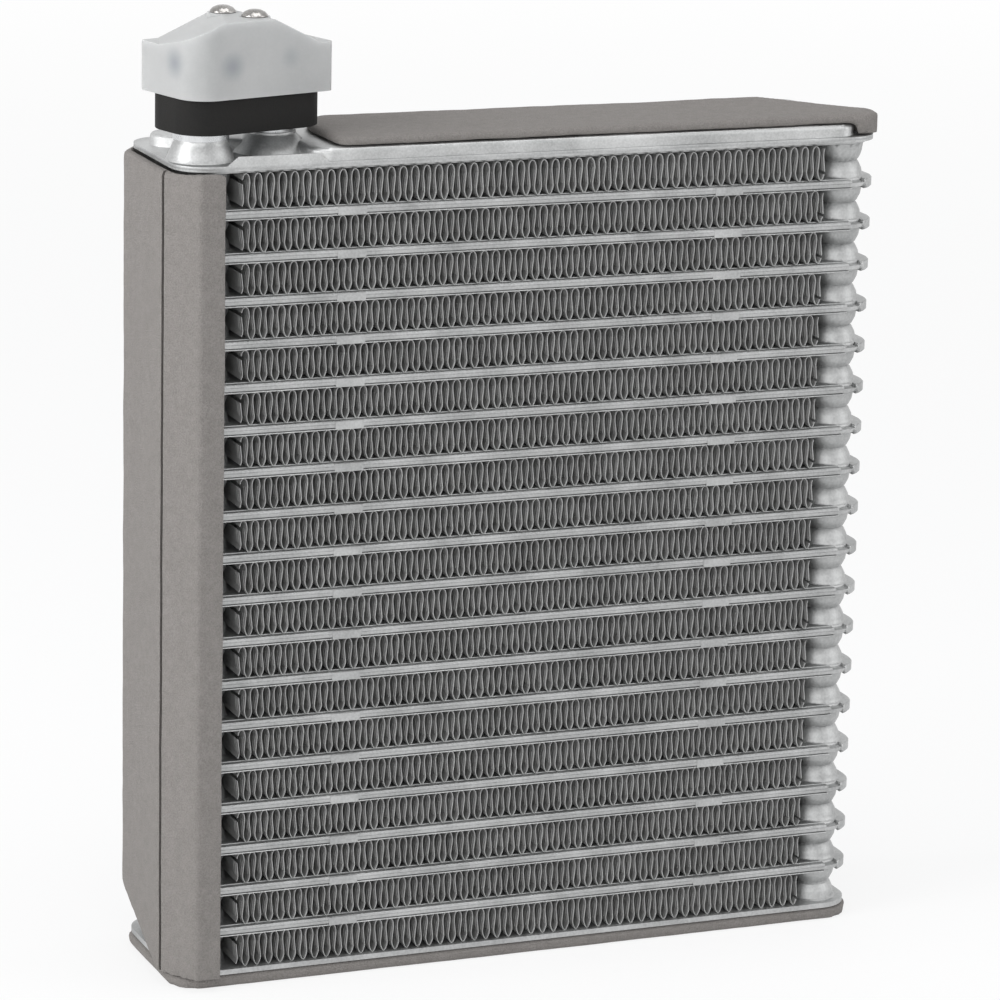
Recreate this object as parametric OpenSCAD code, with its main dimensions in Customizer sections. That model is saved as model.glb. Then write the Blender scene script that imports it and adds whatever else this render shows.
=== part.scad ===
// Evaporator core: brazed flat tubes and corrugated fins between two end
// plates, stacked cup tanks at both ends, foam seals, and a pipe joint block
// with its gasket and screwed-on transport cap at the top left.
// Origin: middle of the bottom pad's underside. +X to the bare tank, +Y to
// the rear, +Z up. Millimetres.

/* [Core] */
// Number of flat tubes
tube_count = 18; // [4:1:22]
// Length of the tubes over both tanks
tube_l = 201; // [180:1:260]
// Depth of the core from front to rear
core_d = 49; // [46:1:70]
// Height of one flat tube over its two half plates
tube_h = 2.7; // [2.2:0.1:4]
// Height of a fin between two tubes
fin_h = 8.8; // [7:0.1:12]
// Height of the top fin, under the top plate
top_fin_h = 9.6; // [8:0.1:12]
// Height of the bottom fin, over the bottom plate
bottom_fin_h = 9.2; // [8:0.1:12]
// Sheet thickness of a half plate
sheet_t = 0.5; // [0.4:0.05:0.7]
// Width of the brazed flange round a tube
flange_w = 2; // [1:0.1:2.1]
// Length of the deeper rim round each end of a tube
end_rim_l = 5; // [3:0.5:7]
// Step that rounds the edge of that rim
edge_step = 0.3; // [0.1:0.05:0.4]
// Width of a crimp tab on the front edge
crimp_w = 8; // [4:0.5:9]
// Distance of the left crimp tab from the left end of the tubes
crimp_left = 47; // [36:1:56]
// Distance of the right crimp tab from the right end of the tubes
crimp_right = 46; // [36:1:56]
// Thickness of a crimp tab
crimp_t = 0.4; // [0.3:0.1:0.6]
// Height of a crimp tab
crimp_h = 2.2; // [1.4:0.1:2.6]

/* [Tanks] */
// Width of a cup, along the tube
cup_w = 13; // [11:0.5:14]
// Length of a cup, along the depth
cup_l = 19.6; // [15:0.1:19.8]
// Rim of the plate round a cup
cup_rim = 2.8; // [2.2:0.1:4]
// Flare of a cup at its foot
cup_flare = 0.7; // [0.4:0.1:0.9]
// Height of that flare
flare_h = 0.8; // [0.4:0.1:1]
// Rounding where two cups meet
cup_round = 1.5; // [0.8:0.1:1.8]
// Length of the flow hole between two cups
hole_l = 15; // [8:0.5:15.5]
// Width of the flow hole
hole_w = 9; // [5:0.5:9.5]
// Width of the rib between the front and the rear passage
middle_rib = 2.4; // [1.6:0.1:2.6]

/* [Fins] */
// Legs of one corrugated fin
fin_legs = 101; // [41:2:131]
// Length of a fin
fin_l = 168.2; // [140:0.1:168.4]
// Thickness of the fin strip
fin_t = 0.2; // [0.15:0.01:0.25]
// Gap from the front of a tube to the front of the fins
fin_setback = 1.3; // [0.8:0.1:2]
// Sideways lean of a leg, which narrows the foot of each wave
fin_lean = 0.2; // [0:0.02:0.3]

/* [End plates] */
// Depth of the tray pressed into the top plate
tray_drop = 0.8; // [0.6:0.1:1.2]
// Sheet thickness of the top and bottom tank plates
plate_t = 0.6; // [0.5:0.1:0.9]
// Sheet thickness of the passage cover and of the end sheet
cover_t = 0.8; // [0.6:0.1:1.2]
// Height of the pressed passage over the cover's rim
passage_h = 3.3; // [2.6:0.1:5]
// Left end of that passage, from the high-pressure port
passage_start = 5; // [3:0.5:8]
// Corner radius of the passage in plan
passage_r = 6; // [4:0.5:7]
// Rounding of the passage's upper edge
passage_round = 1.2; // [0.8:0.1:1.4]
// Gap from the plate's edge to the passage's wall
passage_edge = 1.6; // [1.2:0.1:4]
// Width of the pressed channel over the rear left cup
channel_w = 12; // [10:0.5:13]
// Length of the turned-up tab on the front rim
tab_l = 28; // [20:1:34]
// Start of the tab, from the left end of the tubes
tab_start = 12.5; // [10:0.5:16]
// Height of the tab over the cover's rim
tab_h = 2.4; // [1:0.1:4]
// Slope at each end of the tab
tab_slope = 3; // [1:0.5:5]

/* [Pipe joint] */
// Turn of the joint block round the vertical
block_turn = 15; // [0:1:25]
// Block centre from the front left cup, to the right
block_dx = 11.5; // [10:0.5:13]
// Block centre from the front left cup, to the rear
block_dy = 5.2; // [3:0.1:7]
// Length of the block
block_l = 39; // [38.5:0.5:40]
// Width of the block
block_w = 20; // [18:0.5:21]
// Height of the block's underside over the cover's rim
block_lift = 7.6; // [6.8:0.1:10]
// Height of the block and of the gasket round it
block_h = 9.4; // [8:0.1:14]
// Diameter of the low-pressure port
suction_d = 14.8; // [12:0.1:16]
// Diameter of the high-pressure port
liquid_d = 11.6; // [8:0.1:14]
// High-pressure port from the block centre
liquid_offset = 11; // [10:0.5:12]
// Wall of the two port tubes
port_wall = 1; // [0.8:0.1:1.4]
// Length of the spigots with which the port tubes sit in the block
port_seat = 3; // [2:0.5:4]
// Radius of the pressed dome under the low-pressure port
suction_dome_r = 8.7; // [8.4:0.1:9]
// Radius of that dome at its top
suction_top_r = 7; // [6.6:0.1:7.2]
// Radius of the pressed dome under the high-pressure port
liquid_dome_r = 10; // [9:0.5:11]
// Radius of that dome at its top
liquid_top_r = 6.5; // [6:0.1:8]
// Height of the domes over the cover's rim
dome_h = 5.6; // [4:0.1:6]
// Height of the neck at the top of a dome
dome_neck = 0.6; // [0.3:0.1:1]
// Flare of the domes at their foot
dome_foot = 0.5; // [0.2:0.1:0.8]

/* [Gasket and cap] */
// Length of the gasket
gasket_l = 43; // [42:0.5:48]
// Width of the gasket
gasket_w = 24.5; // [23:0.5:30]
// Corner radius of the gasket
gasket_r = 9; // [5:0.5:10]
// Length of the transport cap
cap_l = 43.5; // [42:0.5:50]
// Width of the transport cap
cap_w = 27; // [25:0.5:32]
// Height of the cap's side wall
cap_wall_h = 12.9; // [10:0.1:18]
// Height of the cap's roof over its side wall
cap_roof_h = 7; // [4:0.1:9]
// Wall thickness of the cap
cap_t = 1.6; // [1.2:0.1:1.8]
// Corner radius of the cap
cap_edge_r = 2.2; // [2:0.1:3]
// Radius of the cap's front left corner
cap_front_r = 7.5; // [4:0.5:9]
// Start of the roof's slope to the left, from the cap centre
left_start = 4; // [3:0.5:7]
// Fall of that slope
left_fall = 23; // [18:1:30]
// Turn of that slope to the rear
left_turn = 30; // [15:1:40]
// Start of the roof's slope to the right, from the cap centre
right_start = 3; // [2:0.5:7]
// Fall of that slope
right_fall = 26; // [20:1:32]
// Distance between the two cap screws
screw_gap = 10.9; // [10:0.1:11.5]
// Turn of the screws' row from the block's cross axis
screw_turn = 16; // [0:1:20]
// Shift of the screws' row from the cap centre to the front
screw_shift = 0.7; // [0:0.1:1.5]
// Thread diameter of the cap screws
screw_d = 5; // [4:0.5:5]
// Head diameter of the cap screws
screw_head_d = 7; // [6.5:0.1:8]
// Head height of the cap screws
screw_head_h = 2.4; // [2:0.1:3]
// Depth of the screw holes in the block
screw_depth = 8; // [5:0.5:8.5]

/* [Foam] */
// Thickness of the foam round the left tank
wrap_t = 3; // [2:0.5:5]
// Length of the wrap's front and rear flaps beyond the tube ends
wrap_flap = 10.6; // [8:0.2:14]
// Length cut off the wrap's corners
wrap_cut_l = 7.3; // [5:0.1:9]
// Depth cut off the wrap's corners
wrap_cut_d = 11.5; // [8:0.5:14]
// Rise of the wrap's lower edge from the front to the rear
wrap_rise = 22; // [0:1:30]
// Thickness of the bottom pad
pad_t = 3.6; // [2:0.2:6]
// Overhang of the bottom pad past the tubes' ends
pad_over = 1.3; // [0:0.1:3]
// Thickness of the top foam
top_foam_t = 2.8; // [2:0.1:6]
// Gap from the gasket's right end to the top foam
top_foam_gap = 0.6; // [0.4:0.1:3]
// Overhang of the top foam past the tubes' right end
top_foam_over = 0.7; // [0:0.1:1.5]
// Depth of the top foam
top_foam_d = 36; // [30:1:38]
// Drop of the top foam over the right end of the passage
top_foam_lip = 3.1; // [2:0.1:3.2]

/* [Hidden] */
eps = 0.01;
slip = 0.1;
tube_pitch = fin_h + tube_h;
cup_reach = tube_pitch/2;
cup_x = tube_l/2 - cup_rim - cup_w/2;
cup_y = core_d/2 - cup_rim - cup_l/2;
cup_half = (cup_l - cup_w)/2;
corner_r = cup_rim + cup_w/2;
z_plate = pad_t;
z_end_top = z_plate + cover_t;
z_bottom_top = z_end_top + plate_t;
z_tube_first = z_bottom_top + bottom_fin_h + tube_h/2;
function tube_z(k) = z_tube_first + (tube_count - k)*tube_pitch;
z_tray = tube_z(1) + tube_h/2 + top_fin_h;
z_rim = z_tray + tray_drop;
z_cover = z_rim + plate_t;
z_cover_top = z_cover + cover_t;
z_passage = z_cover_top + passage_h;
z_block = z_cover_top + block_lift;
z_cap = z_block + block_h;
z_cap_wall = z_cap + cap_wall_h;
z_cap_top = z_cap_wall + cap_roof_h;
block_x = -cup_x + block_dx;
block_y = -cup_y + block_dy;
fin_pitch = fin_l/fin_legs;
fin_d = core_d - 2*fin_setback;
passage_end = tube_l/2 - passage_edge - corner_r/2;
liquid_x = block_x + liquid_offset*cos(block_turn);
liquid_y = block_y + liquid_offset*sin(block_turn);
passage_left = liquid_x + passage_start;
gasket_right = block_x + (gasket_l/2 - gasket_r)*cos(block_turn) + (gasket_w/2 - gasket_r)*sin(block_turn)
  + gasket_r;
aluminium = [0.74, 0.75, 0.76];
bright = [0.82, 0.83, 0.84];
taupe = [0.55, 0.53, 0.50];
black = [0.12, 0.12, 0.12];
frosted = [0.82, 0.83, 0.84, 0.6];
function two_digits(k) = str(k < 10 ? "0" : "", k);
tube_names = [for (k = [1:tube_count]) str("tube_", two_digits(k))];
fin_names = [for (k = [1:tube_count + 1]) str("fin_", two_digits(k))];

// Slab with round corners standing on z = 0
module slab(l, w, r, h) linear_extrude(h) {
  square([l - 2*r, w], center = true);
  square([l, w - 2*r], center = true);
  for (x = [r - l/2, l/2 - r], y = [r - w/2, w/2 - r]) translate([x, y]) circle(r = r, $fn = 48);
}

// Body of a stadium plan that follows a profile of [radius from the spine, height]
module stadium(profile, half) {
  translate([0, half, 0]) rotate_extrude(angle = 180, $fn = 48) polygon(profile);
  translate([0, -half, 0]) rotate([0, 0, 180]) rotate_extrude(angle = 180, $fn = 48) polygon(profile);
  rotate([90, 0, 0]) linear_extrude(2*half, center = true)
    polygon(concat([for (p = profile) if (p[0] > 0) p],
      [for (p = backwards(profile)) if (p[0] > 0) [-p[0], p[1]]]));
}

// Outer form of a cup of height h over the plate face at z = 0
function cup_outside(h) = let (r = cup_w/2, c = cup_round) [
  [0, 0], [r + cup_flare, 0], [r + cup_flare/4, flare_h/2], [r - c/10, h/2], [r - c/3, h - c],
  [r - 2*c/3, h - c/3], [r - c, h], [0, h]];

// Inner form, one sheet inside the outer form
function cup_inside(h) = let (r = cup_w/2 - sheet_t, c = cup_round) [
  [0, -sheet_t - eps], [r, -sheet_t - eps], [r - c/10, h/2], [r - c, h - sheet_t], [0, h - sheet_t]];

module cup_solid(h) stadium(cup_outside(h), cup_half);

// Space inside a cup, with its flow hole through the top
module cup_space(h) {
  stadium(cup_inside(h), cup_half);
  translate([0, 0, h - 2*sheet_t]) flow_hole(3*sheet_t);
}

module flow_hole(h) slab(hole_w, hole_l, hole_w/2 - eps, h);

module at_cups() for (x = [-cup_x, cup_x], y = [-cup_y, cup_y]) translate([x, y, 0]) children();

// Raised passages of a plate, front and rear, inset by a wall
module trays(h, inset) {
  d = (core_d - 2*flange_w - middle_rib)/2;
  for (side = [-1, 1]) translate([0, side*(d + middle_rib)/2, 0])
    slab(tube_l - 2*flange_w - 2*inset, d - 2*inset, corner_r - flange_w - inset, h);
}

// Deeper rim round both ends of a tube, with a stepped edge
module end_rims() for (side = [-1, 1]) intersection() {
  union() {
    translate([0, 0, edge_step - tube_h/2]) slab(tube_l, core_d, corner_r, tube_h - 2*edge_step);
    translate([0, 0, -tube_h/2])
      slab(tube_l - 2*edge_step, core_d - 2*edge_step, corner_r - edge_step, tube_h);
  }
  translate([side*tube_l/2 - end_rim_l, -core_d/2 - 1, -tube_h]) cube([2*end_rim_l, core_d + 2, 2*tube_h]);
}

// Tabs of the upper half plate crimped down over the flange at the front
module crimp_tabs() for (x = [crimp_left - tube_l/2, tube_l/2 - crimp_right])
  translate([x - crimp_w/2, -core_d/2 - crimp_t + eps, -crimp_h/2]) cube([crimp_w, crimp_t + 1, crimp_h]);

module tube(k) color(aluminium) translate([0, 0, tube_z(k)]) difference() {
  union() {
    translate([0, 0, -sheet_t]) slab(tube_l, core_d, corner_r, 2*sheet_t);
    translate([0, 0, -tube_h/2]) trays(tube_h, 0);
    end_rims();
    crimp_tabs();
    for (turn = [0, 180]) rotate([turn, 0, 0]) at_cups()
      translate([0, 0, tube_h/2 - eps]) cup_solid(cup_reach - tube_h/2 + eps);
  }
  translate([0, 0, -tube_h/2 + sheet_t]) trays(tube_h - 2*sheet_t, sheet_t);
  for (turn = [0, 180]) rotate([turn, 0, 0]) at_cups()
    translate([0, 0, tube_h/2]) cup_space(cup_reach - tube_h/2);
}

// Middle line of a fin wave of height h, one leg and one flat crest after the other
function wave(h) = [for (i = [0:fin_legs - 1])
  let (up = i % 2 == 0 ? 1 : -1, x = (i - (fin_legs - 1)/2)*fin_pitch, top = h/2 - fin_t/2)
  each [[x + fin_lean, -up*top], [x - fin_lean, up*top]]];

function unit(v) = v/norm(v);
function left_of(v) = [-v[1], v[0]];

// The middle line moved sideways by s, with mitred corners
function beside(line, s) = [for (i = [0:len(line) - 1])
  let (a = unit(line[min(i + 1, len(line) - 1)] - line[min(i, len(line) - 2)]),
    b = unit(line[max(i, 1)] - line[max(i - 1, 0)]), n = unit(left_of(a) + left_of(b)))
  line[i] + n*s/(n*left_of(a))];

function backwards(list) = [for (i = [len(list) - 1:-1:0]) list[i]];

module corrugation(h) {
  line = wave(h);
  rotate([90, 0, 0]) linear_extrude(fin_d, center = true)
    polygon(concat(beside(line, fin_t/2), backwards(beside(line, -fin_t/2))));
}

module fin(k) color(bright) {
  h = k == 1 ? top_fin_h : k > tube_count ? bottom_fin_h : fin_h;
  base = k > tube_count ? z_bottom_top : tube_z(k) + tube_h/2;
  translate([0, 0, base + h/2]) corrugation(h);
}

// The top tank plate: a rim, a tray pressed down on the fins and hanging cups
module top_plate() color(aluminium) {
  drop = z_tray - tube_z(1) - cup_reach;
  difference() {
    union() {
      translate([0, 0, z_rim]) slab(tube_l, core_d, corner_r, plate_t);
      translate([0, 0, z_tray]) trays(tray_drop + eps, 0);
      translate([0, 0, z_tray + eps]) rotate([180, 0, 0]) at_cups() cup_solid(drop + eps);
    }
    translate([0, 0, z_tray + plate_t]) trays(tray_drop + eps, plate_t);
    translate([0, 0, z_tray]) rotate([180, 0, 0]) at_cups() cup_space(drop);
  }
}

// The bottom tank plate, flat, with four cups that stand on it
module bottom_plate() color(aluminium) {
  rise = z_tube_first - cup_reach - z_bottom_top;
  difference() {
    union() {
      translate([0, 0, z_end_top]) slab(tube_l, core_d, corner_r, plate_t);
      translate([0, 0, z_bottom_top - eps]) at_cups() cup_solid(rise + eps);
    }
    translate([0, 0, z_bottom_top]) at_cups() cup_space(rise);
  }
}

module end_sheet() color(aluminium) translate([0, 0, z_plate]) slab(tube_l, core_d, corner_r, cover_t);

// Flared dome of radius r at its foot and top_r at its neck, drawn inwards by grow
module dome(r, top_r, grow) rotate_extrude($fn = 64) polygon([
  [0, -eps], [r + dome_foot - grow, -eps], [r - grow, 2*dome_foot],
  [top_r + 0.45*(r - top_r) - grow, 0.6*dome_h], [top_r - grow, dome_h - dome_neck],
  [top_r - grow, dome_h - grow], [0, dome_h - grow]]);

// Slab with round corners and a rounded upper edge
module pan(l, w, r, h, c) {
  edge = [for (a = [0:30:90]) [c*(cos(a) - 1), h + c*(sin(a) - 1)]];
  function side(reach) = concat([[reach, -eps]], [for (p = edge) p + [reach, 0]]);
  function across(reach) = concat(side(reach), [for (p = backwards(side(reach))) [-p[0], p[1]]]);
  rotate([90, 0, 90]) linear_extrude(l - 2*r, center = true) polygon(across(w/2));
  rotate([90, 0, 0]) linear_extrude(w - 2*r, center = true) polygon(across(l/2));
  for (x = [r - l/2, l/2 - r], y = [r - w/2, w/2 - r]) translate([x, y, 0])
    rotate_extrude($fn = 48) polygon(concat([[0, -eps]], side(r), [[0, h]]));
}

// Form of the pressed passages, drawn inwards by grow
module passages(grow) {
  translate([-cup_x, -cup_y, 0]) dome(suction_dome_r, suction_top_r, grow);
  translate([liquid_x, liquid_y, 0]) dome(liquid_dome_r, liquid_top_r, grow);
  channel(grow);
  translate([(passage_end + passage_left)/2, 0, 0]) pan(passage_end - passage_left - 2*grow,
    core_d - 2*passage_edge - 2*grow, passage_r - grow, passage_h - grow, passage_round - grow/4);
}

// Rounded channel from over the rear left cup to the high-pressure dome
module channel(grow) {
  start = [-cup_x, cup_y];
  way = [liquid_x, liquid_y] - start;
  r = channel_w/2 - grow;
  h = passage_h - grow;
  translate([start[0] + way[0]/2, start[1] + way[1]/2, 0]) rotate([0, 0, atan2(way[1], way[0]) - 90])
    stadium(concat([[0, -eps], [r, -eps]], [for (a = [0:30:90])
      [r + passage_round*(cos(a) - 1), h + passage_round*(sin(a) - 1)]], [[0, h]]), norm(way)/2);
}

module passage_cover() color(bright) translate([0, 0, z_cover]) {
  difference() {
    union() {
      slab(tube_l, core_d, corner_r, cover_t);
      translate([0, 0, cover_t]) passages(0);
    }
    translate([0, 0, -2*eps]) passages_space();
    translate([-cup_x, -cup_y, dome_h/2]) cylinder(d = suction_d - 4*port_wall, h = dome_h, $fn = 48);
    translate([liquid_x, liquid_y, dome_h/2]) cylinder(d = liquid_d - 4*port_wall, h = dome_h, $fn = 48);
  }
  front_tab();
}

module passages_space() translate([0, 0, cover_t]) {
  passages(cover_t);
  translate([-cup_x, -cup_y, -cover_t]) cylinder(r = suction_dome_r - cover_t, h = cover_t + 2*eps, $fn = 64);
  translate([liquid_x, liquid_y, -cover_t]) cylinder(r = liquid_dome_r - cover_t, h = cover_t + 2*eps, $fn = 64);
}

// Tab turned up from the cover's front rim
module front_tab() translate([-tube_l/2 + tab_start, -core_d/2 + cover_t, cover_t]) rotate([90, 0, 0])
  linear_extrude(cover_t) polygon([[0, -eps], [tab_l, -eps], [tab_l - tab_slope, tab_h], [tab_slope, tab_h]]);

// Port tube that stands on its dome, with a spigot up into the block
module port_tube(d) color(bright) translate([0, 0, z_cover_top + dome_h]) difference() {
  union() {
    cylinder(d = d, h = block_lift - dome_h, $fn = 64);
    cylinder(d = d - 2*port_wall, h = block_lift - dome_h + port_seat, $fn = 64);
  }
  translate([0, 0, -eps]) cylinder(d = d - 4*port_wall, h = block_lift + port_seat, $fn = 64);
}

module suction_tube() translate([-cup_x, -cup_y, 0]) port_tube(suction_d);

module liquid_tube() translate([liquid_x, liquid_y, 0]) port_tube(liquid_d);

// Places its children in the block's turned frame
module at_block(z) translate([block_x, block_y, z]) rotate([0, 0, block_turn]) children();

module at_screws() translate([0, -screw_shift, 0]) rotate([0, 0, screw_turn])
  for (side = [-1, 1]) translate([0, side*screw_gap/2, 0]) children();

module joint_block() color(aluminium) difference() {
  at_block(z_block) slab(block_l, block_w, 3, block_h);
  for (port = [[-cup_x, -cup_y, suction_d], [liquid_x, liquid_y, liquid_d]])
    translate([port[0], port[1], z_block - eps]) {
      cylinder(d = port[2] - 2*port_wall + slip, h = port_seat + eps, $fn = 64);
      cylinder(d = port[2] - 4*port_wall, h = block_h + 2*eps, $fn = 64);
    }
  at_block(z_cap - screw_depth) at_screws() cylinder(d = screw_d + slip, h = screw_depth + eps, $fn = 32);
}

module gasket() color(black) at_block(z_block) difference() {
  slab(gasket_l, gasket_w, gasket_r, block_h);
  translate([0, 0, -eps]) slab(block_l + slip, block_w + slip, 3, block_h + 2*eps);
}

// Plan of the cap with one large corner, drawn inwards by grow and raised to a height h
module cap_plan(grow, h) {
  x = cap_l/2 - grow;
  y = cap_w/2 - grow;
  r = cap_edge_r - grow;
  q = cap_front_r - grow;
  linear_extrude(h) {
    translate([q - x, -y]) square([2*x - q - r, 2*y]);
    translate([-x, q - y]) square([2*x, 2*y - q - r]);
    translate([q - x, r - y]) square([2*x - q, q]);
    translate([r - x, y - r - q]) square([q, q + r]);
    translate([q - x, q - y]) circle(r = q, $fn = 48);
    for (p = [[r - x, y - r], [x - r, y - r], [x - r, r - y]]) translate(p) circle(r = r, $fn = 48);
  }
}

// All that lies under a roof of height h with a slope that falls away to +X
module under_slope(start, fall, h) rotate([90, 0, 0]) linear_extrude(cap_l + cap_w, center = true)
  polygon([[-cap_l, -1], [start + (h + 1)/tan(fall), -1], [start, h], [-cap_l, h]]);

module cap_form(grow) {
  top = cap_wall_h + cap_roof_h - grow;
  cap_plan(grow, cap_wall_h - grow);
  intersection() {
    cap_plan(grow, top);
    rotate([0, 0, 180 - left_turn]) under_slope(left_start, left_fall, top);
    under_slope(right_start, right_fall, top);
  }
}

module transport_cap() color(frosted) at_block(z_cap) difference() {
  union() {
    difference() {
      cap_form(0);
      translate([0, 0, -eps]) cap_form(cap_t);
    }
    at_screws() cylinder(d = screw_d + 2*cap_t, h = cap_wall_h + cap_roof_h, $fn = 48);
  }
  at_screws() translate([0, 0, -eps]) cylinder(d = screw_d + 2*slip, h = cap_wall_h + cap_roof_h + 1, $fn = 32);
}

// Two dome-headed screws through the cap into the block
module cap_screws() color(bright) at_block(z_cap_top) at_screws() rotate_extrude($fn = 48)
  polygon(concat([[0, -cap_wall_h - cap_roof_h - screw_depth + 1],
    [screw_d/2, -cap_wall_h - cap_roof_h - screw_depth + 1], [screw_d/2, 0], [screw_head_d/2, 0]],
    [for (a = [15:25:90]) [screw_head_d/2*cos(a), screw_head_h*sin(a)]]));

// Outline of the wrap round the left tank at a distance from the tube ends
function wrap_line(out) = let (x = -tube_l/2 - out, y = core_d/2 + out, e = -tube_l/2 + wrap_flap) [
  [e, -y], [x + wrap_cut_l, -y], [x, -y + wrap_cut_d], [x, y - wrap_cut_d], [x + wrap_cut_l, y], [e, y]];

// Wrap round the left tank, with its lower edge cut off at a slant
module tank_foam() color(taupe) difference() {
  d = core_d/2 + wrap_t + 1;
  translate([0, 0, z_plate]) linear_extrude(z_rim - z_plate) polygon(wrap_line(wrap_t + slip));
  translate([0, 0, z_plate - 1])
    slab(tube_l + 2*slip, core_d + 2*slip, corner_r + slip, z_rim - z_plate + 2);
  translate([-tube_l/2 - wrap_t - 1, 0, z_plate]) rotate([90, 0, 90]) linear_extrude(wrap_flap + wrap_t + 2)
    polygon([[-d, 0], [-d, -1], [d, -1], [d, wrap_rise]]);
}

// Top foam over the passage, with a lip that drops over its right end
module top_foam() color(taupe) {
  left = gasket_right + top_foam_gap;
  right = tube_l/2 + top_foam_over;
  front = passage_edge - core_d/2;
  cut_l = passage_end + slip + tube_l/2;
  difference() {
    translate([0, 0, z_passage - top_foam_lip]) linear_extrude(top_foam_lip + top_foam_t)
      polygon([[left + 2, front], [right - 4, front], [right - 1, front + 2], [right, front + 6],
        [right, front + 10], [right - 22, front + top_foam_d], [left + 8, front + top_foam_d],
        [left + 2, front + top_foam_d - 4], [left, front + top_foam_d - 12], [left, front + 5],
        [left + 0.5, front + 2]]);
    translate([passage_end + slip - cut_l/2, 0, z_passage - top_foam_lip - eps])
      slab(cut_l, core_d, passage_r, top_foam_lip + eps);
  }
}

module bottom_foam() color(taupe) slab(tube_l + 2*pad_over, core_d + 0.8, corner_r + pad_over, pad_t);

for (k = [1:tube_count]) tube(k);
for (k = [1:tube_count + 1]) fin(k);
top_plate();
passage_cover();
bottom_plate();
end_sheet();
suction_tube();
liquid_tube();
joint_block();
gasket();
transport_cap();
cap_screws();
tank_foam();
top_foam();
bottom_foam();
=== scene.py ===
import math

import bmesh
import bpy
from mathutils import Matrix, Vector, noise


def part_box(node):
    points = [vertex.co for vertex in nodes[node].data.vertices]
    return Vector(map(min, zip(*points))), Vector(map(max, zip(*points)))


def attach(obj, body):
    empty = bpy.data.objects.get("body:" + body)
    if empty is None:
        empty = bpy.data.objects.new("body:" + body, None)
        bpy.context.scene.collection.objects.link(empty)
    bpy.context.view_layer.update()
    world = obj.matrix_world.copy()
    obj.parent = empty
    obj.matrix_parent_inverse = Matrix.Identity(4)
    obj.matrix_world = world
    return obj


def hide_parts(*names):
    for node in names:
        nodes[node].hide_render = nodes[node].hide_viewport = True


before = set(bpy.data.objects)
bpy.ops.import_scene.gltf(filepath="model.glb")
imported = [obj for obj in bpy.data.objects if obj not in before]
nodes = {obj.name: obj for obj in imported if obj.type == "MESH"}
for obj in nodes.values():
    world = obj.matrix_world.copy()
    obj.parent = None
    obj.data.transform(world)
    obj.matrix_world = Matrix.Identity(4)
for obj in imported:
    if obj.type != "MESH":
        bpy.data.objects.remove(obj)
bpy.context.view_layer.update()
print("stage: frame loaded", len(nodes), "nodes")

mm = 0.001
mergeReach = 0.000002  # corners nearer than this are one, in metres

# The camera stands where the photograph was taken from
view = {
    "place": (-0.47225, -1.16875, 0.43827),
    "turn": (75.967, -1.232, -21.682),
    "lens": 170.352,
    "sensor": 36.0,
    "near": 0.01,
    "far": 20.0,
}

# Plain studio: pale floor, soft lamps, white behind
studio = {
    "white": (1.0, 1.0, 1.0, 1.0),
    "skyTop": (0.86, 0.88, 0.90, 1.0),
    "skyLow": (0.30, 0.30, 0.31, 1.0),
    "skyLight": 0.50,
    "skyFrom": 0.30,
    "skyFull": 0.62,
    "floorColor": (0.92, 0.92, 0.92, 1.0),
    "floorSize": 12.0,
    "floorRough": 0.9,
    "floorGlow": 0.8,
    "fadeFrom": 0.5,
    "fadeTo": 2.0,
    "aim": (0.0, 0.0, 0.12),
    "lamps": [
        {"name": "lampFront", "place": (-0.9, -1.7, 0.8), "size": 1.3, "power": 8.0},
        {"name": "lampLeft", "place": (-1.6, -0.22, 0.85), "size": 1.1, "power": 19.0},
        {"name": "lampTop", "place": (0.1, -0.2, 1.7), "size": 1.1, "power": 9.0},
        {"name": "lampRight", "place": (1.5, -1.0, 0.7), "size": 1.1, "power": 6.0},
    ],
}


def clearSelection():
    if bpy.context.object and bpy.context.object.mode != "OBJECT":
        bpy.ops.object.mode_set(mode="OBJECT")
    bpy.ops.object.select_all(action="DESELECT")


def placeCamera():
    clearSelection()
    turn = [math.radians(angle) for angle in view["turn"]]
    bpy.ops.object.camera_add(location=view["place"], rotation=turn)
    camera = bpy.context.object
    camera.name = "photoCamera"
    camera.data.lens = view["lens"]
    camera.data.sensor_width = view["sensor"]
    camera.data.sensor_fit = "HORIZONTAL"
    camera.data.clip_start = view["near"]
    camera.data.clip_end = view["far"]
    bpy.context.scene.camera = camera


def placeLamps():
    for lamp in studio["lamps"]:
        clearSelection()
        way = Vector(studio["aim"]) - Vector(lamp["place"])
        bpy.ops.object.light_add(type="AREA", location=lamp["place"],
                                 rotation=way.to_track_quat("-Z", "Y").to_euler())
        light = bpy.context.object
        light.name = lamp["name"]
        light.data.shape = "SQUARE"
        light.data.size = lamp["size"]
        light.data.energy = lamp["power"]


# One for rays that show a background: from the camera, off a glossy face or through a clear one
def seenRays(tree):
    path = tree.nodes.new("ShaderNodeLightPath")
    first = tree.nodes.new("ShaderNodeMath")
    first.operation = "MAXIMUM"
    tree.links.new(path.outputs["Is Camera Ray"], first.inputs[0])
    tree.links.new(path.outputs["Is Glossy Ray"], first.inputs[1])
    both = tree.nodes.new("ShaderNodeMath")
    both.operation = "MAXIMUM"
    tree.links.new(first.outputs[0], both.inputs[0])
    tree.links.new(path.outputs["Is Transmission Ray"], both.inputs[1])
    return both.outputs[0]


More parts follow.
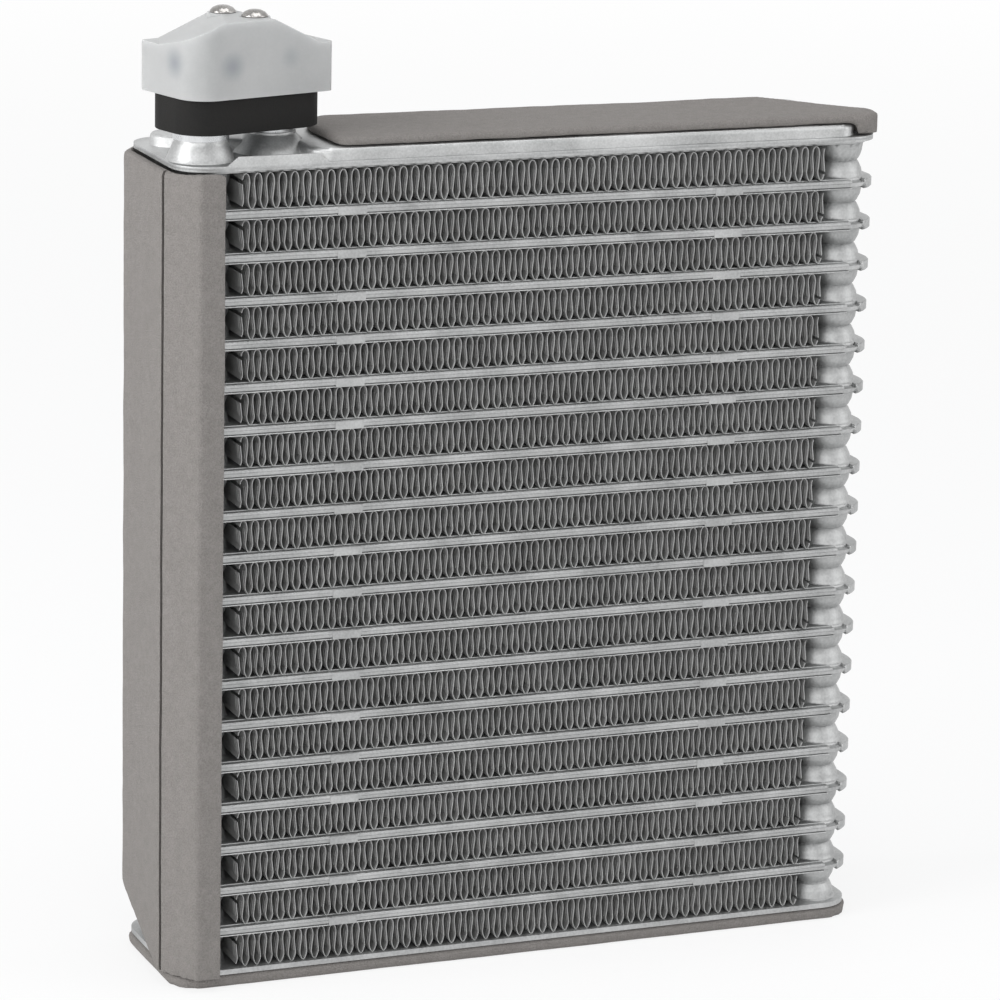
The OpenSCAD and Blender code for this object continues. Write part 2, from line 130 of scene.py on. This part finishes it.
# Background: white where it is seen, a soft sky that darkens below as light
def buildWorld():
    world = bpy.data.worlds.new("studioWorld")
    bpy.context.scene.world = world
    world.use_nodes = True
    tree = world.node_tree
    tree.nodes.clear()
    out = tree.nodes.new("ShaderNodeOutputWorld")
    seen = tree.nodes.new("ShaderNodeBackground")
    seen.inputs["Color"].default_value = studio["white"]
    seen.inputs["Strength"].default_value = 1.0
    lit = tree.nodes.new("ShaderNodeBackground")
    lit.inputs["Strength"].default_value = studio["skyLight"]
    coord = tree.nodes.new("ShaderNodeTexCoord")
    split = tree.nodes.new("ShaderNodeSeparateXYZ")
    ramp = tree.nodes.new("ShaderNodeValToRGB")
    ramp.color_ramp.elements[0].position = studio["skyFrom"]
    ramp.color_ramp.elements[0].color = studio["skyLow"]
    ramp.color_ramp.elements[1].position = studio["skyFull"]
    ramp.color_ramp.elements[1].color = studio["skyTop"]
    # Height goes from -1 and 1 to 0 and 1
    spread = tree.nodes.new("ShaderNodeMath")
    spread.operation = "MULTIPLY_ADD"
    spread.inputs[1].default_value = 0.5
    spread.inputs[2].default_value = 0.5
    tree.links.new(coord.outputs["Generated"], split.inputs[0])
    tree.links.new(split.outputs["Z"], spread.inputs[0])
    tree.links.new(spread.outputs[0], ramp.inputs["Fac"])
    tree.links.new(ramp.outputs["Color"], lit.inputs["Color"])
    mix = tree.nodes.new("ShaderNodeMixShader")
    tree.links.new(seenRays(tree), mix.inputs["Fac"])
    tree.links.new(lit.outputs[0], mix.inputs[1])
    tree.links.new(seen.outputs[0], mix.inputs[2])
    tree.links.new(mix.outputs[0], out.inputs["Surface"])


def buildFloor():
    clearSelection()
    bpy.ops.mesh.primitive_grid_add(x_subdivisions=8, y_subdivisions=8, size=studio["floorSize"])
    floor = bpy.context.object
    floor.name = "studioFloor"
    paint = bpy.data.materials.new("floorPaint")
    paint.use_nodes = True
    tree = paint.node_tree
    shader = tree.nodes["Principled BSDF"]
    shader.inputs["Base Color"].default_value = studio["floorColor"]
    shader.inputs["Roughness"].default_value = studio["floorRough"]
    glow = tree.nodes.new("ShaderNodeEmission")
    glow.inputs["Color"].default_value = studio["white"]
    mix = tree.nodes.new("ShaderNodeMixShader")
    # The floor fades into the white behind it
    coord = tree.nodes.new("ShaderNodeTexCoord")
    reach = tree.nodes.new("ShaderNodeVectorMath")
    reach.operation = "LENGTH"
    tree.links.new(coord.outputs["Object"], reach.inputs[0])
    fade = tree.nodes.new("ShaderNodeMapRange")
    fade.inputs["From Min"].default_value = studio["fadeFrom"]
    fade.inputs["From Max"].default_value = studio["fadeTo"]
    fade.inputs["To Min"].default_value = studio["floorGlow"]
    fade.inputs["To Max"].default_value = 1.0
    tree.links.new(reach.outputs["Value"], fade.inputs["Value"])
    part = tree.nodes.new("ShaderNodeMath")
    part.operation = "MULTIPLY"
    tree.links.new(seenRays(tree), part.inputs[0])
    tree.links.new(fade.outputs["Result"], part.inputs[1])
    tree.links.new(part.outputs[0], mix.inputs["Fac"])
    tree.links.new(shader.outputs[0], mix.inputs[1])
    tree.links.new(glow.outputs[0], mix.inputs[2])
    tree.links.new(mix.outputs[0], tree.nodes["Material Output"].inputs["Surface"])
    floor.data.materials.append(paint)


# Mottled surface shared by all finishes: two noises blend two colours, two roughnesses and a height
mottling = {"coarseDetail": 4.0, "fineDetail": 3.0, "from": 0.34, "to": 0.66}


def buildGrain():
    group = bpy.data.node_groups.new("surfaceGrain", "ShaderNodeTree")
    face = group.interface
    for name, kind, value in [
        ("Vector", "NodeSocketVector", (0.0, 0.0, 0.0)),
        ("Coarse Scale", "NodeSocketFloat", 60.0),
        ("Fine Scale", "NodeSocketFloat", 900.0),
        ("Fine Share", "NodeSocketFloat", 0.5),
        ("Color A", "NodeSocketColor", (0.5, 0.5, 0.5, 1.0)),
        ("Color B", "NodeSocketColor", (0.6, 0.6, 0.6, 1.0)),
        ("Rough A", "NodeSocketFloat", 0.4),
        ("Rough B", "NodeSocketFloat", 0.5),
    ]:
        socket = face.new_socket(name=name, in_out="INPUT", socket_type=kind)
        socket.default_value = value
    for name, kind in [("Color", "NodeSocketColor"), ("Roughness", "NodeSocketFloat"), ("Height", "NodeSocketFloat")]:
        face.new_socket(name=name, in_out="OUTPUT", socket_type=kind)
    add = group.nodes.new
    link = group.links.new
    inside = add("NodeGroupInput")
    outside = add("NodeGroupOutput")
    coarse = add("ShaderNodeTexNoise")
    coarse.inputs["Detail"].default_value = mottling["coarseDetail"]
    fine = add("ShaderNodeTexNoise")
    fine.inputs["Detail"].default_value = mottling["fineDetail"]
    link(inside.outputs["Vector"], coarse.inputs["Vector"])
    link(inside.outputs["Vector"], fine.inputs["Vector"])
    link(inside.outputs["Coarse Scale"], coarse.inputs["Scale"])
    link(inside.outputs["Fine Scale"], fine.inputs["Scale"])
    blend = add("ShaderNodeMix")
    blend.data_type = "FLOAT"
    link(inside.outputs["Fine Share"], blend.inputs["Factor"])
    link(coarse.outputs["Fac"], blend.inputs["A"])
    link(fine.outputs["Fac"], blend.inputs["B"])
    sharpen = add("ShaderNodeMapRange")
    sharpen.inputs["From Min"].default_value = mottling["from"]
    sharpen.inputs["From Max"].default_value = mottling["to"]
    link(blend.outputs["Result"], sharpen.inputs["Value"])
    tint = add("ShaderNodeMix")
    tint.data_type = "RGBA"
    link(sharpen.outputs["Result"], tint.inputs["Factor"])
    link(inside.outputs["Color A"], tint.inputs["A"])
    link(inside.outputs["Color B"], tint.inputs["B"])
    rough = add("ShaderNodeMix")
    rough.data_type = "FLOAT"
    link(sharpen.outputs["Result"], rough.inputs["Factor"])
    link(inside.outputs["Rough A"], rough.inputs["A"])
    link(inside.outputs["Rough B"], rough.inputs["B"])
    link(tint.outputs["Result"], outside.inputs["Color"])
    link(rough.outputs["Result"], outside.inputs["Roughness"])
    link(blend.outputs["Result"], outside.inputs["Height"])
    return group


grainGroup = buildGrain()

# Finishes: colours and roughness from light to dark mottling, grain sizes per metre, bump depth
finishes = {
    "brazedSheet": {"a": (0.34, 0.345, 0.345, 1), "b": (0.54, 0.545, 0.545, 1), "roughA": 0.44, "roughB": 0.60,
                    "coarse": 90, "fine": 1500, "share": 0.45, "bump": 0.25, "depth": 0.0002, "metal": 1.0},
    "coverSheet": {"a": (0.34, 0.345, 0.345, 1), "b": (0.56, 0.565, 0.565, 1), "roughA": 0.38, "roughB": 0.56,
                   "coarse": 70, "fine": 1800, "share": 0.4, "bump": 0.2, "depth": 0.0002, "metal": 1.0},
    "finStrip": {"a": (0.36, 0.36, 0.355, 1), "b": (0.50, 0.50, 0.495, 1), "roughA": 0.50, "roughB": 0.65,
                 "coarse": 120, "fine": 1500, "share": 0.5, "bump": 0.1, "depth": 0.0001, "metal": 0.35},
    "jointAluminium": {"a": (0.55, 0.56, 0.57, 1), "b": (0.70, 0.71, 0.72, 1), "roughA": 0.22, "roughB": 0.34,
                       "coarse": 150, "fine": 2500, "share": 0.3, "bump": 0.04, "depth": 0.0001, "metal": 1.0},
    "sealRubber": {"a": (0.008, 0.008, 0.008, 1), "b": (0.017, 0.016, 0.015, 1), "roughA": 0.6, "roughB": 0.8,
                   "coarse": 200, "fine": 2500, "share": 0.6, "bump": 0.5, "depth": 0.0003, "metal": 0.0,
                   "shine": 0.2},
    "screwChrome": {"a": (0.22, 0.21, 0.20, 1), "b": (0.42, 0.41, 0.40, 1), "roughA": 0.14, "roughB": 0.26,
                    "coarse": 200, "fine": 2500, "share": 0.4, "bump": 0.1, "depth": 0.0001, "metal": 1.0},
    "sealFoam": {"a": (0.178, 0.165, 0.155, 1), "b": (0.256, 0.240, 0.228, 1), "roughA": 0.85, "roughB": 0.97,
                 "coarse": 420, "fine": 2600, "share": 0.72, "bump": 0.7, "depth": 0.0006, "metal": 0.0},
    "frostedPlastic": {"a": (0.405, 0.41, 0.41, 1), "b": (0.48, 0.482, 0.48, 1), "roughA": 0.42, "roughB": 0.55,
                       "coarse": 45, "fine": 1200, "share": 0.15, "bump": 0.1, "depth": 0.0002, "metal": 0.0},
}


def makeFinish(name):
    look = finishes[name]
    paint = bpy.data.materials.new(name)
    paint.use_nodes = True
    tree = paint.node_tree
    shader = tree.nodes["Principled BSDF"]
    coord = tree.nodes.new("ShaderNodeTexCoord")
    grain = tree.nodes.new("ShaderNodeGroup")
    grain.node_tree = grainGroup
    for socket, key in [("Coarse Scale", "coarse"), ("Fine Scale", "fine"), ("Fine Share", "share"),
                        ("Color A", "a"), ("Color B", "b"), ("Rough A", "roughA"), ("Rough B", "roughB")]:
        grain.inputs[socket].default_value = look[key]
    tree.links.new(coord.outputs["Object"], grain.inputs["Vector"])
    tree.links.new(grain.outputs["Color"], shader.inputs["Base Color"])
    tree.links.new(grain.outputs["Roughness"], shader.inputs["Roughness"])
    bump = tree.nodes.new("ShaderNodeBump")
    bump.inputs["Strength"].default_value = look["bump"]
    bump.inputs["Distance"].default_value = look["depth"]
    tree.links.new(grain.outputs["Height"], bump.inputs["Height"])
    tree.links.new(bump.outputs["Normal"], shader.inputs["Normal"])
    shader.inputs["Metallic"].default_value = look["metal"]
    shader.inputs["Specular IOR Level"].default_value = look.get("shine", 0.5)
    return paint


materials = {name: makeFinish(name) for name in finishes}

# Painted shade: dark blurs painted into the frosted cap's colour where the darker parts and shadow inside show dimly
# through it: places and reach of the blurs in millimetres, and their strength
paintedShade = {
    "color": (0.25, 0.265, 0.29, 1.0),
    "spots": [
        ((-99.9, -16.0, 250.3), 5.4, 0.8),
        ((-86.4, -21.0, 249.8), 5.2, 0.9),
        ((-68.5, -18.0, 251.0), 4.0, 0.4),
    ],
    "milky": 0.6,
    "milkyDepth": 6.0,
}


# Paints the blurs of shade into the cap's colour, and makes the plastic milky
def addPaintedShade(paint):
    tree = paint.node_tree
    shader = tree.nodes["Principled BSDF"]
    color = shader.inputs["Base Color"].links[0].from_socket
    coord = tree.nodes.new("ShaderNodeTexCoord")
    for place, reach, strength in paintedShade["spots"]:
        away = tree.nodes.new("ShaderNodeVectorMath")
        away.operation = "DISTANCE"
        away.inputs[1].default_value = Vector(place) * mm
        tree.links.new(coord.outputs["Object"], away.inputs[0])
        fade = tree.nodes.new("ShaderNodeMapRange")
        fade.interpolation_type = "SMOOTHSTEP"
        fade.inputs["From Min"].default_value = 0.0
        fade.inputs["From Max"].default_value = reach * mm
        fade.inputs["To Min"].default_value = strength
        fade.inputs["To Max"].default_value = 0.0
        tree.links.new(away.outputs["Value"], fade.inputs["Value"])
        # Painted shade: each blur darkens the cap's colour towards the shade colour
        tint = tree.nodes.new("ShaderNodeMix")
        tint.data_type = "RGBA"
        tree.links.new(fade.outputs["Result"], tint.inputs["Factor"])
        tree.links.new(color, tint.inputs["A"])
        tint.inputs["B"].default_value = paintedShade["color"]
        color = tint.outputs["Result"]
    tree.links.new(color, shader.inputs["Base Color"])
    shader.inputs["Subsurface Weight"].default_value = paintedShade["milky"]
    shader.inputs["Subsurface Radius"].default_value = (1.0, 1.0, 1.0)
    shader.inputs["Subsurface Scale"].default_value = paintedShade["milkyDepth"] * mm


addPaintedShade(materials["frostedPlastic"])


def dress(obj, finish):
    obj.data.materials.clear()
    obj.data.materials.append(materials[finish])


nodeFinish = {
    "tube": "brazedSheet", "fin": "finStrip", "top_plate": "brazedSheet", "passage_cover": "coverSheet",
    "bottom_plate": "brazedSheet", "end_sheet": "brazedSheet", "suction_tube": "jointAluminium",
    "liquid_tube": "jointAluminium", "joint_block": "jointAluminium", "gasket": "sealRubber",
    "transport_cap": "frostedPlastic", "cap_screws": "screwChrome", "tank_foam": "sealFoam",
    "top_foam": "sealFoam", "bottom_foam": "sealFoam",
}
for name, obj in nodes.items():
    kind = name.split("_")[0] if name[-2:].isdigit() else name
    dress(obj, nodeFinish[kind])
print("stage: finishes on the nodes")


# Adds a new piece to the model: it rides on the core and takes its finish
def settle(piece, finish, slot, *replaced):
    dress(piece, finish)
    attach(piece, "root")
    if replaced:
        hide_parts(*replaced)


def makeActive(obj):
    clearSelection()
    obj.select_set(True)
    bpy.context.view_layer.objects.active = obj


def selectFaces(obj, wanted):
    bpy.ops.mesh.select_mode(type="FACE")
    bpy.ops.mesh.select_all(action="DESELECT")
    mesh = bmesh.from_edit_mesh(obj.data)
    for face in mesh.faces:
        face.select_set(wanted(face.calc_center_median()))
    bmesh.update_edit_mesh(obj.data)


# A new object with its own copy of a mesh, selected and active
def copyPiece(mesh, name):
    piece = bpy.data.objects.new(name, mesh.copy())
    bpy.context.collection.objects.link(piece)
    makeActive(piece)
    return piece


def applyPlace():
    bpy.ops.object.transform_apply(location=True, rotation=True, scale=True)


# In edit mode: one corner where several meet, and all faces outwards
def mergeCorners():
    bpy.ops.mesh.select_all(action="SELECT")
    bpy.ops.mesh.remove_doubles(threshold=mergeReach)
    bpy.ops.mesh.normals_make_consistent(inside=False)


# A copy of a node with its loose triangles merged, to be softened
def mergedCopy(node, name):
    piece = copyPiece(nodes[node].data, name)
    bpy.ops.object.mode_set(mode="EDIT")
    mergeCorners()
    bpy.ops.object.mode_set(mode="OBJECT")
    return piece


def addModifier(obj, kind, **values):
    modifier = obj.modifiers.new(kind.lower(), kind)
    for key, value in values.items():
        setattr(modifier, key, value)
    return modifier


def applyAll(obj):
    makeActive(obj)
    for modifier in list(obj.modifiers):
        bpy.ops.object.modifier_apply(modifier=modifier.name)


# Corrugated fins, in millimetres: half of one wave from the top of an arch to the foot of a U,
# as distances from the arch's middle and from the strip's edges
fins = {
    "count": 19,
    "legs": 101,
    "arch": [(0.00, 0.0), (0.44, 0.18), (0.80, 0.66), (1.02, 1.5), (1.05, 2.6)],
    "foot": [(0.64, 2.2), (0.76, 1.45), (1.04, 0.75), (1.30, 0.2), (1.665, 0.0)],
    "thickness": 0.18,
    "bands": [1.3, 1.6],  # plain edge and slat, from the front inwards
    "slatTurn": 7.0,
    "slatFind": (0.15, 0.2, 1.5),  # how far a slat's face may be from its middle line
    "endGap": 0.2,
    "joinReach": 0.00001,  # in metres
    "wobble": 0.12,
    "sway": 0.8,
    "kink": {"row": 1, "place": 15.7, "reach": 1.3, "depth": 0.5},
}
# Waves per metre of the legs' unevenness, and how far the rows are apart in it
unevenness = {
    "bend": {"x": 420, "z": 160, "y": 25, "row": 5.3},
    "lean": {"x": 60, "y": 12, "row": 9.1, "share": 1.2},
    "sway": {"x": 14, "row": 3.7},
    "atCrest": 0.4,
}


# One corner in edit mode, from which a line is extruded
def startPoint(name, place):
    clearSelection()
    bpy.ops.mesh.primitive_plane_add(size=mm, location=place)
    obj = bpy.context.object
    obj.name = name
    applyPlace()
    bpy.ops.object.mode_set(mode="EDIT")
    bpy.ops.mesh.select_mode(type="VERT")
    bpy.ops.mesh.select_all(action="SELECT")
    bpy.ops.mesh.merge(type="CENTER")
    return obj


def extrudeBy(step):
    bpy.ops.mesh.extrude_region_move(TRANSFORM_OT_translate={"value": tuple(step)})


# One whole wave of a fin, as a sheet without thickness
def finUnit(low, high):
    half = (high.z - low.z) / 2 - fins["thickness"] * mm / 2
    front = low.y
    rise = [(x * mm, half - z * mm) for x, z in fins["arch"]]
    fall = [(x * mm, z * mm - half) for x, z in fins["foot"]]
    right = rise + fall
    line = [(-x, z) for x, z in reversed(right)] + right[1:]
    points = [Vector((x, front, z)) for x, z in line]
    unit = startPoint("finUnit", points[0])
    for here, there in zip(points, points[1:]):
        extrudeBy(there - here)
    bpy.ops.mesh.select_all(action="SELECT")
    bands = [width * mm for width in fins["bands"]]
    middle = high.y - low.y - 2 * sum(bands)
    for depth in bands + [middle] + bands[::-1]:
        extrudeBy((0, depth, 0))
    bpy.ops.object.mode_set(mode="OBJECT")
    # The slats of the louvres turn about their own middle lines
    legX = (fins["arch"][-1][0] + fins["foot"][0][0]) / 2 * mm
    slats = [front + bands[0] + bands[1] / 2]
    slats += [low.y + high.y - y for y in slats]
    reachX, reachY, reachZ = [reach * mm for reach in fins["slatFind"]]
    bpy.ops.object.mode_set(mode="EDIT")
    for y in slats:
        turn = fins["slatTurn"] if y < 0 else -fins["slatTurn"]
        for side in (-1, 1):
            selectFaces(unit, lambda c: abs(c.y - y) < reachY and abs(c.x - side * legX) < reachX
                        and abs(c.z) < reachZ)
            bpy.ops.mesh.split()
            bpy.ops.transform.rotate(value=math.radians(turn), orient_axis="Z", orient_type="GLOBAL",
                                     center_override=(side * legX, y, 0))
    bpy.ops.object.mode_set(mode="OBJECT")
    return unit


# The wave repeated along the core and trimmed to the node's length
def finStrip(unit, high):
    period = fins["foot"][-1][0] * 2 * mm
    count = (fins["legs"] + 1) // 2
    makeActive(unit)
    addModifier(unit, "ARRAY", count=count, use_relative_offset=False, use_constant_offset=True,
                constant_offset_displace=(period, 0, 0), use_merge_vertices=True, merge_threshold=fins["joinReach"])
    applyAll(unit)
    unit.location.x = -(fins["legs"] - 2) / 2 * period / 2
    applyPlace()
    bpy.ops.object.mode_set(mode="EDIT")
    limit = high.x - fins["endGap"] * mm
    selectFaces(unit, lambda c: abs(c.x) > limit)
    bpy.ops.mesh.delete(type="FACE")
    bpy.ops.object.mode_set(mode="OBJECT")
    return unit


def unevenAt(x, y, z):
    return noise.noise(Vector((x, y, z)))


def bendStrip(piece, row, low, high):
    middle = (low.z + high.z) / 2
    half = (high.z - low.z) / 2
    bends, leans, sways = unevenness["bend"], unevenness["lean"], unevenness["sway"]
    for vertex in piece.data.vertices:
        place = vertex.co
        # The crests are brazed to the tubes, so the legs bend most in the middle
        free = 1.0 - abs(place.z - middle) / half
        bend = unevenAt(place.x * bends["x"], place.z * bends["z"] + row * bends["row"], place.y * bends["y"])
        lean = unevenAt(place.x * leans["x"], row * leans["row"], place.y * leans["y"])
        shift = unevenAt(place.x * sways["x"], row * sways["row"], 0.0)
        shift *= fins["sway"] * (1.0 - (place.x / high.x) ** 4)  # the ends stay where they are
        if row == fins["kink"]["row"]:
            away = (place.x / mm - fins["kink"]["place"]) / fins["kink"]["reach"]
            shift += fins["kink"]["depth"] * free * math.exp(-away * away)
        legs = (bend * (unevenness["atCrest"] + free) + lean * leans["share"]) * fins["wobble"]
        place.x += (legs + shift) * mm


def makeFins():
    low, high = [Vector(c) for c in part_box("fin_02")]
    unit = finUnit(low, high)
    strip = finStrip(unit, high)
    height = high.z - low.z
    for row in range(1, fins["count"] + 1):
        node = "fin_%02d" % row
        low, high = [Vector(c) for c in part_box(node)]
        piece = copyPiece(strip.data, "finStrip%02d" % row)
        piece.location.z = (low.z + high.z) / 2
        piece.scale.z = (high.z - low.z) / height
        applyPlace()
        bendStrip(piece, row, low, high)
        addModifier(piece, "SOLIDIFY", thickness=fins["thickness"] * mm, offset=0.0, use_rim=True)
        applyAll(piece)
        settle(piece, "finStrip", "fins", node)
    bpy.data.objects.remove(strip)


makeFins()
print("stage: fins")

# Tubes: the cups get smooth faces, and the long edges show the two rolled plates.
# The profile runs round one edge, as depths behind its front and heights from the tube's middle
tubes = {
    "count": 18,
    "smooth": 26.0,
    "edgeFront": 24.6,
    "cornerFrom": 91.2,
    "cornerRadius": 9.4,
    "cornerTurn": 43.0,
    "cornerSteps": 4,
    "profile": [(2.3, 1.2), (0.36, 1.16), (0.04, 0.94), (0.0, 0.50), (0.20, 0.40), (0.0, 0.30), (0.06, -0.50),
                (0.90, -0.54), (0.90, -0.80), (0.22, -0.82), (-0.06, -1.06), (0.18, -1.19), (2.3, -1.2)],
    "crimpFront": 24.68,
    "normalWeight": 50,
}


# One half of a long edge, from the middle of the tube round the start of its corner
def edgeStrip(side, way):
    points = [Vector((0.0, side * (tubes["edgeFront"] - depth), z)) * mm for depth, z in tubes["profile"]]
    strip = startPoint("edgeStrip", points[0])
    for here, there in zip(points, points[1:] + points[:1]):
        extrudeBy(there - here)
    bpy.ops.mesh.select_all(action="SELECT")
    bpy.ops.mesh.remove_doubles(threshold=mergeReach)
    bpy.ops.mesh.edge_face_add()
    extrudeBy((way * tubes["cornerFrom"] * mm, 0, 0))
    turn = -side * way * tubes["cornerTurn"]
    center = (way * tubes["cornerFrom"] * mm, side * (tubes["edgeFront"] - tubes["cornerRadius"]) * mm, 0.0)
    bpy.ops.mesh.spin(steps=tubes["cornerSteps"], angle=math.radians(turn), center=center, axis=(0, 0, 1))
    mergeCorners()
    bpy.ops.object.mode_set(mode="OBJECT")
    return strip


def makeTubes():
    strips = [edgeStrip(side, way) for side in (-1, 1) for way in (-1, 1)]
    for row in range(1, tubes["count"] + 1):
        node = "tube_%02d" % row
        middle = (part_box("fin_%02d" % row)[0][2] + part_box("fin_%02d" % (row + 1))[1][2]) / 2
        piece = mergedCopy(node, "flatTube%02d" % row)
        bpy.ops.object.shade_smooth_by_angle(angle=math.radians(tubes["smooth"]))
        for vertex in piece.data.vertices:
            # The crimps lie flat over the rolled edge
            vertex.co.y = max(vertex.co.y, -tubes["crimpFront"] * mm)
        copies = []
        for strip in strips:
            copy = copyPiece(strip.data, "edgeCopy")
            copy.location.z = middle
            applyPlace()
            copies.append(copy)
        makeActive(piece)
        for copy in copies:
            copy.select_set(True)
        bpy.ops.object.join()
        addModifier(piece, "WEIGHTED_NORMAL", keep_sharp=True, weight=tubes["normalWeight"])
        applyAll(piece)
        settle(piece, "brazedSheet", "tubes", node)
    for strip in strips:
        bpy.data.objects.remove(strip)


makeTubes()
print("stage: tubes")

# Foam: voxel size, rounds of smoothing and depth of the dents, in millimetres
foams = {
    "tank_foam": {"name": "tankWrap", "voxel": 1.2, "rounds": 4, "dent": 0.25, "fill": 1.0},
    "top_foam": {"name": "topSeal", "voxel": 1.1, "rounds": 6, "dent": 0.30, "fill": 1.0},
    "bottom_foam": {"name": "bottomPad", "voxel": 1.5, "rounds": 4, "dent": 0.15, "fill": 1.0},
}
# Large and small dents: waves per metre and share, and how far the foam is pressed in on the whole
dents = {"large": 55, "largeShare": 0.7, "small": 210, "smallShare": 0.3, "pressed": 0.35, "smooth": 50.0}

# The wrap's lower edge at its left end, in millimetres: the slanted edge of the solid, and the wanted one
wrapEdge = {
    "solidFloor": 3.6,
    "solidStart": -28.5,
    "solidSlope": 22.0 / 57.0,
    "floor": 3.7,
    "start": -15.5,
    "slope": 0.50,
    "shrink": 1.5,
    "fade": 26.0,
    "flap": 1.0,
    "flapFrom": -95.0,
    "flapTo": -89.0,
}
# The groove down the wrap's front corner, in millimetres
groove = {"place": (-102.35, -16.4, 110.0), "turn": 32.0, "width": 0.9, "depth": 1.1, "length": 300.0}


def shapeWrap(piece):
    look = wrapEdge
    for vertex in piece.data.vertices:
        x, y, z = vertex.co / mm
        solid = look["solidFloor"] + look["solidSlope"] * (y - look["solidStart"])
        wanted = look["floor"] + look["slope"] * max(y - look["start"], 0.0)
        near = min(max(1.0 - (z - solid) / look["fade"], 0.0), 1.0)
        drop = max(solid + look["shrink"] - wanted, 0.0) * near
        vertex.co.z = max((z - drop) * mm, look["floor"] * mm)
        # The flap's right edge gets back what the smoothing took
        if x > look["flapFrom"] and y < 0:
            vertex.co.x += look["flap"] * min((x - look["flapFrom"]) / (look["flapTo"] - look["flapFrom"]), 1.0) * mm


def cutGroove(piece):
    clearSelection()
    bpy.ops.mesh.primitive_cube_add(size=1.0, location=[value * mm for value in groove["place"]],
                                    rotation=(0, 0, math.radians(groove["turn"])))
    blade = bpy.context.object
    blade.scale = (groove["depth"] * 2 * mm, groove["width"] * mm, groove["length"] * mm)
    applyPlace()
    addModifier(piece, "BOOLEAN", object=blade, operation="DIFFERENCE", solver="EXACT")
    applyAll(piece)
    bpy.data.objects.remove(blade)


def makeFoam(node):
    look = foams[node]
    piece = mergedCopy(node, look["name"])
    addModifier(piece, "REMESH", mode="VOXEL", voxel_size=look["voxel"] * mm)
    addModifier(piece, "SMOOTH", factor=0.5, iterations=look["rounds"])
    applyAll(piece)
    if node == "tank_foam":
        shapeWrap(piece)
    outward = [vertex.normal.copy() for vertex in piece.data.vertices]
    for vertex, way in zip(piece.data.vertices, outward):
        place = vertex.co.copy()
        dent = noise.noise(place * dents["large"]) * dents["largeShare"]
        dent += noise.noise(place * dents["small"]) * dents["smallShare"]
        vertex.co = place + way * (dent - dents["pressed"]) * look["dent"] * mm
    if node == "tank_foam":
        cutGroove(piece)
    makeActive(piece)
    bpy.ops.object.shade_smooth_by_angle(angle=math.radians(dents["smooth"]))
    settle(piece, "sealFoam", "foam", node)


for node in foams:
    makeFoam(node)
print("stage: foam")

# Pressed and moulded pieces: edges sharper than the angle are rounded, by a width in millimetres
softened = {
    "passage_cover": {"name": "coverPressing", "width": 0.45, "segments": 2, "angle": 32, "slot": "plates"},
    "top_plate": {"name": "topPressing", "width": 0.15, "segments": 1, "angle": 50, "slot": "plates"},
    "transport_cap": {"name": "capMoulding", "width": 0.8, "segments": 3, "angle": 18, "slot": "cap"},
    "gasket": {"name": "sealRing", "width": 0.9, "segments": 3, "angle": 40, "slot": "seal"},
}
softening = {"flat": 0.5, "smooth": 38.0}


def soften(node):
    look = softened[node]
    piece = mergedCopy(node, look["name"])
    bpy.ops.object.mode_set(mode="EDIT")
    bpy.ops.mesh.select_all(action="SELECT")
    bpy.ops.mesh.dissolve_limited(angle_limit=math.radians(softening["flat"]))
    bpy.ops.object.mode_set(mode="OBJECT")
    addModifier(piece, "BEVEL", width=look["width"] * mm, segments=look["segments"], limit_method="ANGLE",
                angle_limit=math.radians(look["angle"]), use_clamp_overlap=True)
    applyAll(piece)
    bpy.ops.object.shade_smooth_by_angle(angle=math.radians(softening["smooth"]))
    settle(piece, nodeFinish[node], look["slot"], node)


for node in softened:
    soften(node)

# The screws' heads are sunk a little into the cap, in millimetres
screws = {"headHeight": 2.4, "sunk": 0.45, "smooth": 35.0}


def makeScrews():
    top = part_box("cap_screws")[1][2]
    seat = top - screws["headHeight"] * mm
    piece = mergedCopy("cap_screws", "capScrewHeads")
    for vertex in piece.data.vertices:
        if vertex.co.z > seat:
            vertex.co.z -= (vertex.co.z - seat) / (top - seat) * screws["sunk"] * mm
    bpy.ops.object.shade_smooth_by_angle(angle=math.radians(screws["smooth"]))
    settle(piece, "screwChrome", "screws", "cap_screws")


makeScrews()
print("stage: softened pieces")

placeCamera()
placeLamps()
buildWorld()
buildFloor()
bpy.context.scene.view_settings.view_transform = "Standard"
print("stage: studio")
